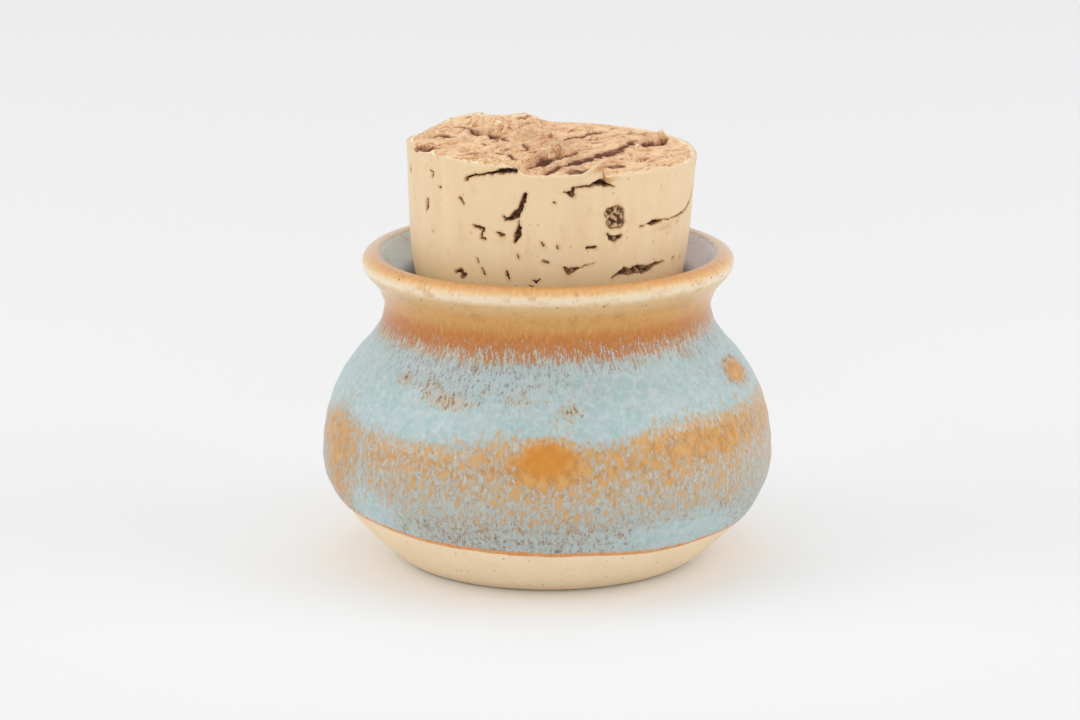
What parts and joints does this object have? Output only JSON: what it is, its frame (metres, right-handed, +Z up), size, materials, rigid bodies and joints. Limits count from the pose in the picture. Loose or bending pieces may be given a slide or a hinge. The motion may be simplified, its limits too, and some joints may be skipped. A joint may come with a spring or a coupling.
{
  "type": "corked ceramic jar",
  "caption": "Squat hand-thrown stoneware jar with a pulled-in neck and rolled lip, mottled amber and blue-grey glaze over a bare clay foot, stopped by a tapered natural cork.",
  "frame": {"origin": "centre of the flat foot that the jar stands on", "axes": "+Z up along the jar's axis, -Y out of the jar's front, +X to the right seen from the front"},
  "size_m": [0.0692, 0.0692, 0.0658],
  "materials": {
    "glazed_stoneware": "glossy mottled reactive glaze in amber, ochre and pale blue-grey, bare buff clay at the foot",
    "natural_cork": "dry matt natural cork with torn bark on top, pores and fissures"
  },
  "bodies": {
    "root": {"jar_body": "glazed_stoneware", "cork": "natural_cork"}
  },
  "joints": []
}
